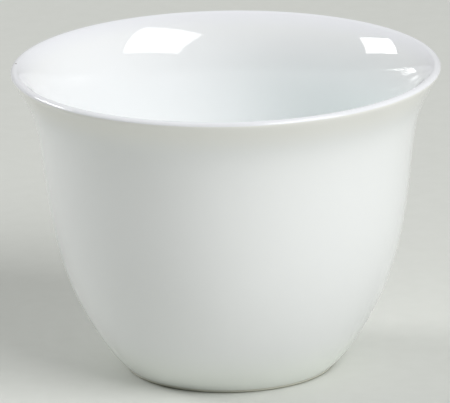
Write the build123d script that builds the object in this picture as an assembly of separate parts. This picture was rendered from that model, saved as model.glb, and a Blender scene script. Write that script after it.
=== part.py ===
from build123d import *
import os
from math import cos, radians, sin

# Arabic coffee cup: a small handleless porcelain cup with a flared lip on a low foot ring.
# Millimetres, +Z up. The origin is the centre of the circle that the cup stands on.

# Overall sizes, measured over the glaze
rim_diameter = 65.0
cup_height = 46.9

# Outside of the fired porcelain: diameters, and the heights or drops from the rim where they are taken
foot_diameter = 31.5
bowl_diameter = 39.0
bowl_height = 5.1
belly_diameter = 48.9
belly_height = 15.0
neck_diameter = 55.5
neck_drop = 14.0
flare_diameter = 58.1
flare_drop = 6.0

# Lean of the wall from upright, in degrees, where it leaves the foot and where it ends in the lip
foot_lean = 50.0
lip_lean = 54.0

# Thickness of the porcelain, square to its surface: the wall thins evenly from the bowl to the lip
base_thickness = 2.4
bowl_wall = 1.9
lip_wall = 1.0

# Flat of the floor inside the cup
floor_diameter = 16.0

# Foot ring and the domed recess inside it
foot_land = 0.6
foot_width = 2.2
foot_rounding = 0.3
recess_depth = 1.2
recess_run = 0.9
recess_dome = 0.3
recess_rounding = 0.8

# Even coat of glaze, wiped off the foot ring up to the top of its upright land
glaze_thickness = 0.2

# Stations along the outside of the porcelain, with X as the radius and Y as the height
foot_radius = foot_diameter / 2
foot_inside = foot_radius - foot_width
floor_height = recess_depth + recess_dome + base_thickness
foot_up = Vector(sin(radians(foot_lean)), cos(radians(foot_lean)))
foot_out = Vector(foot_up.Y, -foot_up.X)
lip_up = Vector(sin(radians(lip_lean)), cos(radians(lip_lean)))
lip_out = Vector(lip_up.Y, -lip_up.X)
level = Vector(1, 0)

# The lip is rounded over its whole thickness
lip_radius = lip_wall / 2
lip_depth = lip_radius + glaze_thickness
lip_centre = Vector(rim_diameter / 2 - lip_depth, cup_height - lip_depth)

wall_foot = Vector(foot_radius, foot_land)
bowl = Vector(bowl_diameter / 2, bowl_height)
belly = Vector(belly_diameter / 2, belly_height)
neck = Vector(neck_diameter / 2, cup_height - neck_drop)
flare = Vector(flare_diameter / 2, cup_height - flare_drop)
wall_top = lip_centre + lip_out * lip_radius
outside = Spline(
    wall_foot,
    bowl,
    belly,
    neck,
    flare,
    wall_top,
    tangents=[foot_up, lip_up],
    tangent_scalars=[1, 1],
)

# Points along the wall, from the bowl to the lip, at which its thickness and coats are set off.
# The inside passes the lowest one by, so that it leaves the floor in one wide sweep.
wall_stations = 10
bowl_share = outside.param_at_point(bowl)
shares = [bowl_share + (1 - bowl_share) * step / wall_stations for step in range(wall_stations)]


def cup_edges(coat):
    """The cup's outside, lip, inside and floor, with a coat of this thickness over the porcelain."""
    outer = []
    inner = []
    for share in shares:
        station = outside.position_at(share)
        along = outside.tangent_at(share)
        outward = Vector(along.Y, -along.X)
        risen = (station.Y - bowl.Y) / (wall_top.Y - bowl.Y)
        wall = bowl_wall + (lip_wall - bowl_wall) * risen
        outer.append(station + outward * coat)
        inner.append(station - outward * (wall + coat))
    lip = lip_radius + coat
    foot_end = wall_foot + foot_out * coat
    outer_end = lip_centre + lip_out * lip
    lip_end = lip_centre + lip_up * lip
    inner_end = lip_centre - lip_out * lip
    floor_edge = Vector(floor_diameter / 2, floor_height + coat)
    return [
        Spline(foot_end, *outer, outer_end, tangents=[foot_up, lip_up], tangent_scalars=[1, 1]),
        ThreePointArc(outer_end, lip_end, inner_end),
        Spline(floor_edge, *inner[1:], inner_end, tangents=[level, lip_up], tangent_scalars=[1, 1]),
        Line(floor_edge, Vector(0, floor_height + coat)),
    ]


# Recess under the cup, drawn across the whole foot
ring_outer = Vector(foot_radius, 0)
ring_inner = Vector(foot_inside, 0)
recess_right = Vector(foot_inside - recess_run, recess_depth)
recess_left = Vector(-recess_right.X, recess_depth)
recess_top = Vector(0, recess_depth + recess_dome)
recess_foot = Polyline(recess_left, Vector(-foot_inside, 0), ring_inner, recess_right)
recess = make_face([recess_foot, ThreePointArc(recess_right, recess_top, recess_left)])
recess = fillet(recess.vertices().group_by(Axis.Y)[-1], recess_rounding)

# Half section of the porcelain, closed along the land, the table and the axis
foot_edges = Polyline(wall_foot, ring_outer, Vector(0, 0), Vector(0, floor_height))
section = make_face(cup_edges(0) + [foot_edges]) - recess
ring_corners = [section.vertices().sort_by_distance(point)[0] for point in (ring_outer, ring_inner)]
section = fillet(ring_corners, foot_rounding)

# Half section of the coat over the cup, which ends square to the wall at the top of the land
foot_end = Line(wall_foot, wall_foot + foot_out * glaze_thickness)
floor_end = Line(Vector(0, floor_height), Vector(0, floor_height + glaze_thickness))
cup_coat = make_face(cup_edges(0) + cup_edges(glaze_thickness) + [foot_end, floor_end])

# Half section of the coat in the recess, down to the same height inside the ring
wiped = Pos(0, foot_land) * Rectangle(foot_diameter, cup_height, align=(Align.MIN, Align.MIN))
base_coat = (recess - offset(recess, -glaze_thickness)) & wiped

# The pieces, turned about the cup's axis
porcelain_body = revolve(Plane.XZ * section, Axis.Z)
glaze_coat = revolve(Plane.XZ * cup_coat, Axis.Z)
base_glaze = revolve(Plane.XZ * base_coat, Axis.Z)

os.makedirs("parts", exist_ok=True)
export_step(porcelain_body, "parts/porcelain_body.step")
export_step(glaze_coat, "parts/glaze_coat.step")
export_step(base_glaze, "parts/base_glaze.step")
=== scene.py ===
from math import cos, radians, sin, tau

import bpy
from bpy.props import FloatProperty, FloatVectorProperty, IntProperty, PointerProperty
from mathutils import Matrix, Vector


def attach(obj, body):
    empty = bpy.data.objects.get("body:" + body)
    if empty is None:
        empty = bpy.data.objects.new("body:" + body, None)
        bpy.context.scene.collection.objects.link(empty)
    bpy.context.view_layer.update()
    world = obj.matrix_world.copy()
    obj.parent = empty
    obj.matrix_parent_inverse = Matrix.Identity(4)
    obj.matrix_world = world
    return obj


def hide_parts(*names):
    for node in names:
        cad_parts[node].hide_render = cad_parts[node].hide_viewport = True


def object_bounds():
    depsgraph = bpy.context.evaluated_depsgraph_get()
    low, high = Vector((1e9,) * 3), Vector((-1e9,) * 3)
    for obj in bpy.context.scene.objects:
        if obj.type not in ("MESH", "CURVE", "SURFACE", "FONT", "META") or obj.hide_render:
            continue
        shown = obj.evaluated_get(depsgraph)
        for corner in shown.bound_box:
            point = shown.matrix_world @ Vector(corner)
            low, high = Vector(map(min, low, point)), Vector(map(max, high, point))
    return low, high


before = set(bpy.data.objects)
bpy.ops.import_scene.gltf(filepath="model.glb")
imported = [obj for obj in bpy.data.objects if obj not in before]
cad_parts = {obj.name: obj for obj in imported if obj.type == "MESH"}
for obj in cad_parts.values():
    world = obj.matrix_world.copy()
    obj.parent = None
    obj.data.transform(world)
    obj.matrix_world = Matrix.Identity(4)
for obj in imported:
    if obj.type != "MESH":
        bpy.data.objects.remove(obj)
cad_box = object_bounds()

bl_info = {
    "name": "Arabic coffee cup",
    "version": (1, 0, 0),
    "blender": (4, 5, 0),
    "location": "View3D > Sidebar > Cup",
    "description": "Turns a small handleless porcelain cup with its glaze, and stands it in a studio",
    "category": "Object",
}

# Vertices that are closer than this are merged into one
MERGE = 1e-6

# Share of the way to the middle of its neighbours that a smoothing pass moves a vertex
SMOOTHING = 0.5

# Faces across the rounded bead in which the glaze ends
BEAD_FACES = 4

# The inside of the cup faces up and its outside faces down. One passes into the other while the upward
# part of the normal goes from minus this to plus this
LEVEL = 0.1

# The flat that the cup stands on begins where the upward part of the normal is below the first of these,
# and is full at the second
FLAT_START = -0.8
FLAT_FULL = -1.0

# The pooled glaze, with its painted shade tint, shows this much everywhere, and this much more where the
# clouds are thickest
POOL_LEAST = 0.85
POOL_CLOUDS = 0.3

# Grime and painted contact shade show this much everywhere, and this much more where its patches are
# thickest
GRIME_LEAST = 0.5
GRIME_PATCHES = 0.8

# Share of a speck's radius inside which it is at its darkest
SPECK_CORE = 0.6

# How far the pattern of specks is moved through the cup, which leaves the front clean
SPECK_SHIFT = (0.0, 0.004, 0.0)

# The room is at its dimmest where the cosine of the angle to its bright side is below the first of these,
# and at its brightest above the second
ROOM_DIM = -1.0
ROOM_BRIGHT = 0.3

# The glow over the camera fades in from the first of these cosines to the second
GLOW_START = 0.75
GLOW_FULL = 0.95

# The camera's side of the cup, round it from +X
FRONT = radians(-90)

# The picture's width, in pixels, and the width of the sensor that the lens is given for
PICTURE_WIDTH = 450
SENSOR_WIDTH = 36.0

# Millimetres in a metre
MILLIMETRES = 1000


# Kinds of setting

def length(label, use, default):
    """A size in metres that a user can change."""
    return FloatProperty(name=label, description=use, default=default, min=0.0, precision=5, unit="LENGTH")


def angle(label, use, degrees):
    """A direction or a turn that a user can change, given in degrees."""
    return FloatProperty(name=label, description=use, default=radians(degrees), subtype="ANGLE")


def share(label, use, default):
    """A part of a whole, from 0 to 1."""
    return FloatProperty(name=label, description=use, default=default, min=0.0, max=1.0, subtype="FACTOR")


def passes(label, use, default):
    """How often a smoothing is repeated."""
    return IntProperty(name=label, description=use, default=default, min=0)


def power(label, use, default):
    """The power of a light, in watts."""
    return FloatProperty(name=label, description=use, default=default, min=0.0, unit="POWER")


def colour(label, use, default):
    """A colour as the eye meets it in plain light, in linear red, green and blue."""
    return FloatVectorProperty(
        name=label, description=use, default=default, min=0.0, max=1.0, size=3, subtype="COLOR"
    )


# Settings

class CupTurning(bpy.types.PropertyGroup):
    """How finely the pieces are turned."""

    steps: IntProperty(
        name="Steps round", description="Faces in one ring of a turned piece", default=120, min=24, max=180
    )
    rounds: passes("Rounds", "How often a half section is divided and smoothed before it is turned", 1)
    bead: length("Glaze bead", "Rounding of the glaze where it was wiped back from the foot", 0.0001)
    crease: angle("Crease", "Edges that turn by more than this stay sharp", 40)


class CupGlaze(bpy.types.PropertyGroup):
    """Looks of the glaze."""

    white: colour("Glaze", "The glaze over the white porcelain", (0.938, 0.954, 0.960))
    # Partly pooled glaze, partly painted shade: the cooler tint of the right half of the inside, which lies
    # in shade
    pooled_and_shade_tint: colour("Pooled glaze", "The glaze where it ran thick down one side", (0.911, 0.977, 0.976))
    # Painted light: the paler tint of the left half of the inside, where the key light falls
    thin: colour("Thin glaze", "The glaze where it drained thin down the other", (0.938, 0.945, 0.958))
    # Painted reflection: a bluish tint for the cool room mirrored in the top of the lip
    lip: colour("Lip", "The glaze where it drew thin over the lip", (0.924, 0.934, 0.974))
    # Painted light: the warm tint of light thrown up from the floor under the lip
    gathered: colour("Gathered glaze", "The glaze that gathered under the lip", (0.942, 0.942, 0.912))
    foot: colour("Foot glaze", "The glaze that thickened over the foot", (0.952, 0.984, 0.946))
    iron: colour("Iron", "Specks of iron that fired through the glaze", (0.110, 0.085, 0.060))
    roughness: share("Roughness", "Roughness of the fired surface", 0.04)
    clouding: share("Clouding", "How much rougher the surface is where its clouds are thickest", 0.03)
    cloud_spacing: length("Cloud spacing", "Distance from one cloud in the glaze to the next", 0.015)
    index: FloatProperty(name="Index", description="Refractive index of the glaze", default=1.5, min=1.0)

    pool_start: length("Pool start", "Height inside the cup at which the glaze starts to thicken", 0.045)
    pool_full: length("Pool full", "Height inside the cup below which the glaze is thickest", 0.034)
    # Over this reach the painted shade on the right of the inside turns into the painted light on its left
    pool_reach: length("Pool reach", "How far each side of the axis the pool thins or thickens", 0.025)
    # How far the painted reflection reaches down from the rim
    lip_height: length("Lip height", "How far the thin glaze reaches down from the rim", 0.0025)
    foot_start: length("Foot start", "Height outside the cup at which the glaze starts to thicken", 0.009)
    foot_full: length("Foot full", "Height outside the cup below which the glaze is thickest", 0.002)

    gather_top: length("Gather top", "Drop from the rim to where the gathered glaze leaves the lip", 0.0006)
    # Where the painted warm bounce light under the lip is at full strength
    gather_full: length("Gather full", "Drop from the rim above which its colour is full", 0.0016)
    gather_end: length("Gather end", "Drop from the rim to the foot of the gathered glaze", 0.0145)
    gather_passes: passes("Gather passes", "Smoothing passes that even out the gathered glaze", 8)
    hollow_top: length("Hollow top", "Drop from the rim to the hollow that the glaze fills", 0.0008)
    hollow_end: length("Hollow end", "Drop from the rim to the foot of that hollow", 0.0062)
    hollow_passes: passes("Hollow passes", "Smoothing passes that fill the hollow", 60)

    speck: length("Speck", "Radius of the specks of iron", 0.0002)
    speck_spacing: length("Speck spacing", "Distance from one speck to the next in the body", 0.009)
    speck_place: FloatVectorProperty(
        name="Speck place",
        description="Place of the speck on the lip",
        default=(-0.03168, 0.00291, 0.0469),
        size=3,
        precision=5,
        subtype="TRANSLATION",
        unit="LENGTH",
    )
    wave: length("Wave", "Depth of the slow waves in the glaze", 0.000004)
    wave_spacing: length("Wave spacing", "Distance from one wave to the next", 0.007)


class CupPorcelain(bpy.types.PropertyGroup):
    """Looks of the bare porcelain on the foot ring."""

    biscuit: colour("Biscuit", "The bare fired porcelain", (0.735, 0.735, 0.655))
    # Partly grime, partly painted shade: the dark line where the foot meets the table
    grime_and_contact_shade: colour("Grime", "What use has rubbed into the foot", (0.195, 0.205, 0.102))
    grime_height: length("Grime height", "How far the grime reaches up from the table", 0.0003)
    patch_spacing: length("Patch spacing", "Distance from one patch of grime to the next", 0.004)
    rubbed: share("Rubbed", "How much of the grime is rubbed off the flat that the cup stands on", 0.75)
    roughness: share("Roughness", "Roughness of the bare porcelain", 0.75)
    coarseness: share("Coarseness", "How much rougher the porcelain is on its coarsest grains", 0.1)
    grain: length("Grain", "Size of the grains that show on the bare porcelain", 0.0002)
    grain_depth: length("Grain depth", "Depth of the grain", 0.00001)


class CupStage(bpy.types.PropertyGroup):
    """Floor, lights and camera."""

    floor: colour("Floor", "The plain floor", (0.727, 0.740, 0.710))
    mottle: colour("Mottle", "The darker tone that faintly mottles the floor", (0.676, 0.689, 0.655))
    mottle_spacing: length("Mottle spacing", "Distance from one fleck of that tone to the next", 0.003)
    cloud_spacing: length("Cloud spacing", "Distance from one cloud of that tone to the next", 0.05)
    cloud_share: share("Cloud share", "How much of that tone is in its clouds, the rest in flecks", 0.3)
    floor_roughness: share("Floor roughness", "Roughness of the floor", 0.9)
    floor_gloss: share("Floor gloss", "Strength of the floor's gloss", 0.2)
    floor_width: length("Floor width", "Side of the square floor", 16.0)
    room_bright: colour("Room, bright", "The room on its bright side, at the back", (0.420, 0.423, 0.411))
    room_dim: colour("Room, dim", "The room on its dim side", (0.004, 0.004, 0.004))
    room_azimuth: angle("Room azimuth", "Bright side of the room, round the cup from +X", 65.6)
    glow: colour("Glow", "The pale ceiling over the camera", (0.320, 0.323, 0.316))
    glow_elevation: angle("Glow elevation", "Middle of the pale ceiling over the horizon", 55)

    key_power: power("Key power", "Power of the key softbox", 10.5)
    key_width: length("Key width", "Width of the key softbox", 0.85)
    key_height: length("Key height", "Height of the key softbox", 0.65)
    key_distance: length("Key distance", "Distance of the key softbox from the cup", 1.2)
    key_azimuth: angle("Key azimuth", "Place of the key softbox round the cup, from +X", -47.1)
    key_elevation: angle("Key elevation", "Place of the key softbox over the horizon", 39.7)
    key_faces: angle("Key faces", "Azimuth that the key softbox faces", 165.1)
    key_tilt: angle("Key tilt", "Elevation that the key softbox faces", -45.1)
    key_roll: angle("Key roll", "Turn of the key softbox about its own axis", -5.8)

    fill_power: power("Fill power", "Power of the fill softbox", 7.25)
    fill_width: length("Fill width", "Width of the fill softbox", 0.52)
    fill_height: length("Fill height", "Height of the fill softbox", 0.4)
    fill_distance: length("Fill distance", "Distance of the fill softbox from the cup", 1.2)
    fill_azimuth: angle("Fill azimuth", "Place of the fill softbox round the cup, from +X", 155.3)
    fill_elevation: angle("Fill elevation", "Place of the fill softbox over the horizon", 29.8)
    fill_faces: angle("Fill faces", "Azimuth that the fill softbox faces", -6.8)
    fill_tilt: angle("Fill tilt", "Elevation that the fill softbox faces", 6.0)
    fill_roll: angle("Fill roll", "Turn of the fill softbox about its own axis", -0.4)

    view_distance: length("View distance", "Distance of the camera from the middle of the cup", 1.25)
    view_elevation: angle("View elevation", "Height of the camera over the horizon", 16.303)
    view_roll: angle("View roll", "Turn of the camera about its line of sight", -1.003)
    view_scale: FloatProperty(
        name="View scale", description="Pixels in the picture for one millimetre on the cup", default=6.5977
    )
    cup_right: length("Cup right", "How far the cup stands right of the middle of the picture", 0.000488)
    cup_low: length("Cup low", "How far the cup stands below the middle of the picture", 0.001938)


# Nodes of the materials

class Value:
    """A number in a material that changes over the surface. Arithmetic on it adds Math nodes."""

    def __init__(self, finish, socket):
        self.finish = finish
        self.socket = socket

    def __add__(self, other):
        return self.finish.maths("ADD", self, other)

    def __radd__(self, other):
        return self.finish.maths("ADD", other, self)

    def __sub__(self, other):
        return self.finish.maths("SUBTRACT", self, other)

    def __rsub__(self, other):
        return self.finish.maths("SUBTRACT", other, self)

    def __mul__(self, other):
        return self.finish.maths("MULTIPLY", self, other)

    def __rmul__(self, other):
        return self.finish.maths("MULTIPLY", other, self)


class Finish:
    """The nodes of one material or of the world."""

    def __init__(self, owner):
        owner.use_nodes = True
        self.tree = owner.node_tree
        self.tree.nodes.clear()

    def add(self, kind, output=None, settings=None, sockets=None):
        """Adds a node, with its settings first and then the values or links of its sockets."""
        node = self.tree.nodes.new(kind)
        for name, value in (settings or {}).items():
            setattr(node, name, value)
        for name, value in (sockets or {}).items():
            socket = self.open_socket(node.inputs, name)
            if isinstance(value, Value):
                self.tree.links.new(value.socket, socket)
            else:
                socket.default_value = value
        if output is None:
            return node
        return Value(self, self.open_socket(node.outputs, output))

    def open_socket(self, sockets, name):
        """The socket of this number, or the one of this name that the node's settings leave in use."""
        if isinstance(name, int):
            return sockets[name]
        return next(socket for socket in sockets if socket.enabled and socket.name == name)

    def maths(self, operation, first, second):
        """A Math node on two numbers, either of which may change over the surface."""
        return self.add("ShaderNodeMath", "Value", {"operation": operation}, {0: first, 1: second})

    def vectors(self, operation, output, first, second):
        """A Vector Math node on two vectors, and the output of it that is wanted."""
        return self.add("ShaderNodeVectorMath", output, {"operation": operation}, {0: first, 1: second})

    def part(self, axis, vector):
        """The X, Y or Z of a vector."""
        return self.add("ShaderNodeSeparateXYZ", axis, None, {"Vector": vector})

    def fade(self, value, start, end):
        """0 before start and 1 past end, with a smooth step between them."""
        return self.add(
            "ShaderNodeMapRange",
            "Result",
            {"interpolation_type": "SMOOTHSTEP"},
            {"Value": value, "From Min": start, "From Max": end},
        )

    def noise(self, place, spacing, detail):
        """Cloudy noise from 0 to 1, with this distance between its clouds."""
        return self.add(
            "ShaderNodeTexNoise", "Fac", None, {"Vector": place, "Scale": 1 / spacing, "Detail": detail}
        )

    def blend(self, factor, first, second):
        """The first colour where the factor is 0, and the second where it is 1."""
        return self.add(
            "ShaderNodeMix", "Result", {"data_type": "RGBA"}, {"Factor": factor, "A": first, "B": second}
        )

    def relief(self, height, depth):
        """The normal of a surface that stands up by this depth where the height is 1."""
        return self.add("ShaderNodeBump", "Normal", None, {"Height": height, "Distance": depth})

    def surface(self, sockets):
        """Ends the material in one Principled surface."""
        shader = self.add("ShaderNodeBsdfPrincipled", "BSDF", None, sockets)
        self.add("ShaderNodeOutputMaterial", None, None, {"Surface": shader})


def opaque(rgb):
    """A colour property as the four numbers that a colour socket takes."""
    return (*rgb, 1.0)


# Materials

def glaze_finish(glaze):
    """White glaze, tinted where it pools, with painted light, shade and reflection, slowly waved and with a
    few specks of iron.
    """
    material = bpy.data.materials.new("glaze")
    finish = Finish(material)
    place = finish.add("ShaderNodeTexCoord", "Object")
    height = finish.part("Z", place)
    across = finish.part("X", place)
    upward = finish.part("Z", finish.add("ShaderNodeNewGeometry", "Normal"))
    cloud = finish.noise(place, glaze.cloud_spacing, detail=3.0)
    rim_height = cad_box[1].z

    # The wall leans out all the way up, so what faces up is the inside
    inside = finish.fade(upward, -LEVEL, LEVEL)
    outside = 1 - inside
    # 0 on the left of the inside, where the key light falls, and 1 on its right, which lies in shade; it
    # steers painted light and shade
    ran = finish.fade(across, -glaze.pool_reach, glaze.pool_reach)
    pool_and_shade = finish.fade(height, glaze.pool_start, glaze.pool_full) * ran * inside
    # Painted reflection on the top of the lip
    lip = finish.fade(height, rim_height - glaze.lip_height, rim_height) * inside
    # Painted bounce light: the warm band on the outside under the lip
    gathered = finish.fade(height, rim_height - glaze.hollow_end, rim_height - glaze.gather_full)
    foot = finish.fade(height, glaze.foot_start, glaze.foot_full)

    # The specks are the middles of scattered cells, and one more on the lip
    shifted = finish.vectors("ADD", "Vector", place, SPECK_SHIFT)
    cells = finish.add(
        "ShaderNodeTexVoronoi", "Distance", None, {"Vector": shifted, "Scale": 1 / glaze.speck_spacing}
    )
    lip_speck = finish.vectors("DISTANCE", "Value", place, glaze.speck_place)
    nearest = finish.maths("MINIMUM", lip_speck, glaze.speck_spacing * cells)
    iron = finish.fade(nearest, glaze.speck, SPECK_CORE * glaze.speck)

    # The painted warm bounce light under the lip
    tint = finish.blend(gathered * outside, opaque(glaze.white), opaque(glaze.gathered))
    tint = finish.blend(foot * outside, tint, opaque(glaze.foot))
    # Pooled glaze inside, with painted shade on the shaded right half
    tint = finish.blend(pool_and_shade * (POOL_LEAST + POOL_CLOUDS * cloud), tint, opaque(glaze.pooled_and_shade_tint))
    # Painted light on the lit left half of the inside
    tint = finish.blend((1 - ran) * inside, tint, opaque(glaze.thin))
    # The lip's painted reflection
    tint = finish.blend(lip, tint, opaque(glaze.lip))
    tint = finish.blend(iron, tint, opaque(glaze.iron))
    wave = finish.noise(place, glaze.wave_spacing, detail=1.0)
    finish.surface(
        {
            "Base Color": tint,
            "Roughness": glaze.roughness + glaze.clouding * cloud,
            "IOR": glaze.index,
            "Normal": finish.relief(wave, glaze.wave),
        }
    )
    return material


def biscuit_finish(porcelain):
    """Bare porcelain: matt and finely grained, with grime and painted contact shade low on the foot, rubbed
    off its flat.
    """
    material = bpy.data.materials.new("biscuit")
    finish = Finish(material)
    place = finish.add("ShaderNodeTexCoord", "Object")
    height = finish.part("Z", place)
    upward = finish.part("Z", finish.add("ShaderNodeNewGeometry", "Normal"))
    patch = finish.noise(place, porcelain.patch_spacing, detail=4.0)
    grain = finish.noise(place, porcelain.grain, detail=2.0)
    rubbed = porcelain.rubbed * finish.fade(upward, FLAT_START, FLAT_FULL)
    # Darker towards the table: grime and painted contact shade
    low = finish.fade(height, porcelain.grime_height, 0.0)
    grime_and_contact_shade = low * (GRIME_LEAST + GRIME_PATCHES * patch) * (1 - rubbed)
    finish.surface(
        {
            "Base Color": finish.blend(grime_and_contact_shade, opaque(porcelain.biscuit), opaque(porcelain.grime_and_contact_shade)),
            "Roughness": porcelain.roughness + porcelain.coarseness * grain,
            "Normal": finish.relief(grain, porcelain.grain_depth),
        }
    )
    return material


def floor_finish(stage):
    """Matt card, faintly clouded and mottled."""
    material = bpy.data.materials.new("floor")
    finish = Finish(material)
    place = finish.add("ShaderNodeTexCoord", "Object")
    cloud = finish.noise(place, stage.cloud_spacing, detail=4.0)
    fleck = finish.noise(place, stage.mottle_spacing, detail=2.0)
    mottle = stage.cloud_share * cloud + (1 - stage.cloud_share) * fleck
    finish.surface(
        {
            "Base Color": finish.blend(mottle, opaque(stage.floor), opaque(stage.mottle)),
            "Roughness": stage.floor_roughness,
            "Specular IOR Level": stage.floor_gloss,
        }
    )
    return material


# Turning the pieces

def edit(piece):
    """Takes this piece alone into edit mode, with all of its mesh selected."""
    if bpy.context.mode != "OBJECT":
        bpy.ops.object.mode_set(mode="OBJECT")
    bpy.ops.object.select_all(action="DESELECT")
    piece.select_set(True)
    bpy.context.view_layer.objects.active = piece
    bpy.ops.object.mode_set(mode="EDIT")
    bpy.ops.mesh.select_mode(type="VERT")
    bpy.ops.mesh.select_all(action="SELECT")


def half_section(node, name):
    """A new object with the outline of one half of a packed node, as one open line."""
    wire = bpy.data.objects.new(name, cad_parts[node].data.copy())
    bpy.context.scene.collection.objects.link(wire)
    wire.data.materials.clear()
    edit(wire)
    bpy.ops.mesh.customdata_custom_splitnormals_clear()
    bpy.ops.mesh.remove_doubles(threshold=MERGE)
    bpy.ops.mesh.bisect(
        plane_co=(0, 0, 0), plane_no=(0, 1, 0), clear_inner=True, clear_outer=True, threshold=MERGE
    )
    bpy.ops.mesh.select_all(action="SELECT")
    bpy.ops.mesh.bisect(plane_co=(0, 0, 0), plane_no=(1, 0, 0), clear_inner=True, threshold=MERGE)
    bpy.ops.object.mode_set(mode="OBJECT")
    if len(wire.data.vertices) != len(wire.data.edges) + 1:
        raise RuntimeError(f"the half section of {node} isn't one open line")
    return wire


def pick(wire, wanted):
    """Takes a wire into edit mode, with only the vertices selected that are wanted."""
    edit(wire)
    bpy.ops.mesh.select_all(action="DESELECT")
    bpy.ops.object.mode_set(mode="OBJECT")
    for vertex in wire.data.vertices:
        vertex.select = wanted(vertex)
    bpy.ops.object.mode_set(mode="EDIT")


def smooth_band(wire, side, drops, repeat):
    """Smooths the vertices of one side of a wire that lie between two drops from the rim."""
    highest, lowest = (cad_box[1].z - drop for drop in drops)
    band = {index for index in side if lowest < wire.data.vertices[index].co.z < highest}
    pick(wire, lambda vertex: vertex.index in band)
    bpy.ops.mesh.vertices_smooth(factor=SMOOTHING, repeat=repeat)
    bpy.ops.object.mode_set(mode="OBJECT")


def gather_under_lip(wire, glaze):
    """Lets the glaze fill the hollow under the lip, and evens out the outside of the coat around it."""
    top = max(wire.data.vertices, key=lambda vertex: vertex.co.z).index
    foot = min(wire.data.vertices, key=lambda vertex: vertex.co.z).index
    pick(wire, lambda vertex: vertex.index in (top, foot))
    bpy.ops.mesh.shortest_path_select()
    bpy.ops.object.mode_set(mode="OBJECT")
    outside = {vertex.index for vertex in wire.data.vertices if vertex.select}
    smooth_band(wire, outside, (glaze.hollow_top, glaze.hollow_end), glaze.hollow_passes)
    smooth_band(wire, outside, (glaze.gather_top, glaze.gather_end), glaze.gather_passes)


def round_lowest(wire, radius):
    """Rounds the corners at the lowest points of a wire."""
    lowest = min(vertex.co.z for vertex in wire.data.vertices)
    pick(wire, lambda vertex: vertex.co.z < lowest + MERGE)
    bpy.ops.mesh.bevel(offset=radius, segments=BEAD_FACES, affect="VERTICES")
    bpy.ops.object.mode_set(mode="OBJECT")


def turn(wire, turning):
    """Smooths a wire and spins it about the axis into a closed piece."""
    smooth = wire.modifiers.new("smooth", "SUBSURF")
    smooth.levels = turning.rounds
    smooth.render_levels = turning.rounds
    edit(wire)
    bpy.ops.object.mode_set(mode="OBJECT")
    bpy.ops.object.modifier_apply(modifier=smooth.name)
    edit(wire)
    bpy.ops.mesh.spin(steps=turning.steps, angle=tau, center=(0, 0, 0), axis=(0, 0, 1))
    bpy.ops.mesh.select_all(action="SELECT")
    bpy.ops.mesh.remove_doubles(threshold=MERGE)
    bpy.ops.mesh.normals_make_consistent(inside=False)
    bpy.ops.mesh.select_all(action="DESELECT")
    bpy.ops.mesh.select_non_manifold()
    bpy.ops.object.mode_set(mode="OBJECT")
    if any(vertex.select for vertex in wire.data.vertices):
        raise RuntimeError(f"{wire.name} came out with an open edge")
    bpy.ops.object.shade_smooth_by_angle(angle=turning.crease)
    return wire


def place_piece(piece, node, material):
    """Lets a finished piece stand for its packed node."""
    piece.data.materials.append(material)
    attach(piece, "root")
    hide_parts(node)


# The stage

def direction(azimuth, elevation):
    """The unit vector at this azimuth from +X and this elevation over the horizon."""
    return Vector((cos(elevation) * cos(azimuth), cos(elevation) * sin(azimuth), sin(elevation)))


def facing(towards, roll):
    """The turn of a lamp or camera that looks this way, rolled about its own axis."""
    return towards.to_track_quat("-Z", "Y").to_matrix() @ Matrix.Rotation(roll, 3, "Z")


def add_softbox(name, middle, stage, role):
    """A rectangular softbox, as the stage gives it for this role."""
    away = direction(getattr(stage, role + "_azimuth"), getattr(stage, role + "_elevation"))
    towards = direction(getattr(stage, role + "_faces"), getattr(stage, role + "_tilt"))
    turned = facing(towards, getattr(stage, role + "_roll"))
    bpy.ops.object.light_add(
        type="AREA",
        location=middle + away * getattr(stage, role + "_distance"),
        rotation=turned.to_euler(),
    )
    softbox = bpy.context.object
    softbox.name = name
    softbox.visible_camera = False
    softbox.data.shape = "RECTANGLE"
    softbox.data.size = getattr(stage, role + "_width")
    softbox.data.size_y = getattr(stage, role + "_height")
    softbox.data.energy = getattr(stage, role + "_power")


def add_camera(middle, stage):
    """A long lens that sees the cup as the picture does."""
    away = direction(FRONT, stage.view_elevation)
    turned = facing(-away, stage.view_roll)
    aim = middle + turned @ Vector((-stage.cup_right, stage.cup_low, 0.0))
    bpy.ops.object.camera_add(location=aim + away * stage.view_distance, rotation=turned.to_euler())
    camera = bpy.context.object
    camera.name = "camera"
    focal_pixels = stage.view_scale * MILLIMETRES * stage.view_distance
    camera.data.sensor_width = SENSOR_WIDTH
    camera.data.lens = SENSOR_WIDTH * focal_pixels / PICTURE_WIDTH
    bpy.context.scene.camera = camera


def add_world(stage):
    """A room that is pale behind the stage and dim in front of it, with a pale ceiling over the camera."""
    world = bpy.data.worlds.new("room")
    finish = Finish(world)
    way = finish.add("ShaderNodeTexCoord", "Generated")

    def towards(azimuth, elevation):
        """The cosine of the angle between what is looked at and this direction."""
        return finish.vectors("DOT_PRODUCT", "Value", way, direction(azimuth, elevation))

    behind = finish.fade(towards(stage.room_azimuth, 0.0), ROOM_DIM, ROOM_BRIGHT)
    above = finish.fade(towards(FRONT, stage.glow_elevation), GLOW_START, GLOW_FULL)
    tint = finish.blend(behind, opaque(stage.room_dim), opaque(stage.room_bright))
    tint = finish.blend(above, tint, opaque(stage.glow))
    room = finish.add("ShaderNodeBackground", "Background", None, {"Color": tint})
    finish.add("ShaderNodeOutputWorld", None, None, {"Surface": room})
    bpy.context.scene.world = world


# Operators and panel

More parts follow.
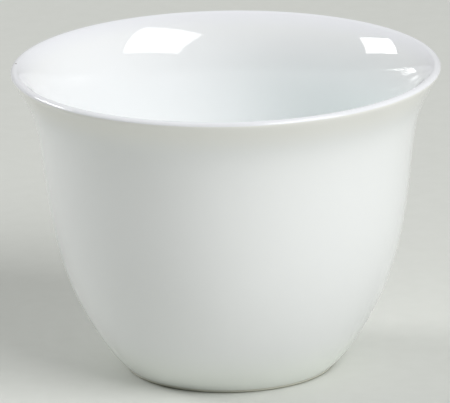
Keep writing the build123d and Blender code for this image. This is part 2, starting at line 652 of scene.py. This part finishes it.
class CUP_OT_turn_porcelain(bpy.types.Operator):
    """Turns the porcelain body, which shows on the foot ring"""

    bl_idname = "cup.turn_porcelain"
    bl_label = "Turn the porcelain"
    bl_options = {"REGISTER", "UNDO"}

    def execute(self, context):
        wire = half_section("porcelain_body", "cup_porcelain")
        piece = turn(wire, context.scene.cup_turning)
        place_piece(piece, "porcelain_body", biscuit_finish(context.scene.cup_porcelain))
        return {"FINISHED"}


class CUP_OT_coat_with_glaze(bpy.types.Operator):
    """Turns the two coats of glaze, over the cup and in the recess under it"""

    bl_idname = "cup.coat_with_glaze"
    bl_label = "Coat with glaze"
    bl_options = {"REGISTER", "UNDO"}

    def execute(self, context):
        turning = context.scene.cup_turning
        glaze = context.scene.cup_glaze
        material = glaze_finish(glaze)
        cup_coat = half_section("glaze_coat", "cup_glaze")
        gather_under_lip(cup_coat, glaze)
        recess_coat = half_section("base_glaze", "recess_glaze")
        for node, wire in (("glaze_coat", cup_coat), ("base_glaze", recess_coat)):
            round_lowest(wire, turning.bead)
            piece = turn(wire, turning)
            place_piece(piece, node, material)
        return {"FINISHED"}


class CUP_OT_set_stage(bpy.types.Operator):
    """Lays the floor and sets the softboxes, the room and the camera"""

    bl_idname = "cup.set_stage"
    bl_label = "Set the stage"
    bl_options = {"REGISTER", "UNDO"}

    def execute(self, context):
        stage = context.scene.cup_stage
        low, high = cad_box
        middle = (low + high) / 2
        bpy.ops.object.select_all(action="DESELECT")
        bpy.ops.mesh.primitive_plane_add(size=stage.floor_width, location=(0, 0, low.z))
        floor = context.object
        floor.name = "floor"
        floor.data.materials.append(floor_finish(stage))
        add_softbox("key_softbox", middle, stage, "key")
        add_softbox("fill_softbox", middle, stage, "fill")
        add_world(stage)
        add_camera(middle, stage)
        context.scene.view_settings.view_transform = "Standard"
        return {"FINISHED"}


class CUP_PT_sidebar(bpy.types.Panel):
    """The cup's settings, and a button for each step of its making"""

    bl_idname = "CUP_PT_sidebar"
    bl_label = "Arabic coffee cup"
    bl_space_type = "VIEW_3D"
    bl_region_type = "UI"
    bl_category = "Cup"

    def draw(self, context):
        for attribute, settings in SETTINGS.items():
            box = self.layout.box()
            box.label(text=settings.__doc__)
            for name in settings.__annotations__:
                box.prop(getattr(context.scene, attribute), name)
        for operator in OPERATORS:
            self.layout.operator(operator.bl_idname)


SETTINGS = {
    "cup_turning": CupTurning,
    "cup_glaze": CupGlaze,
    "cup_porcelain": CupPorcelain,
    "cup_stage": CupStage,
}
OPERATORS = (CUP_OT_turn_porcelain, CUP_OT_coat_with_glaze, CUP_OT_set_stage)
CLASSES = (*SETTINGS.values(), *OPERATORS, CUP_PT_sidebar)


def register():
    for made in CLASSES:
        bpy.utils.register_class(made)
    for attribute, settings in SETTINGS.items():
        setattr(bpy.types.Scene, attribute, PointerProperty(type=settings))


def unregister():
    for attribute in SETTINGS:
        delattr(bpy.types.Scene, attribute)
    for made in reversed(CLASSES):
        bpy.utils.unregister_class(made)


def main():
    register()
    bpy.ops.cup.turn_porcelain()
    bpy.ops.cup.coat_with_glaze()
    bpy.ops.cup.set_stage()


if __name__ == "__main__":
    main()
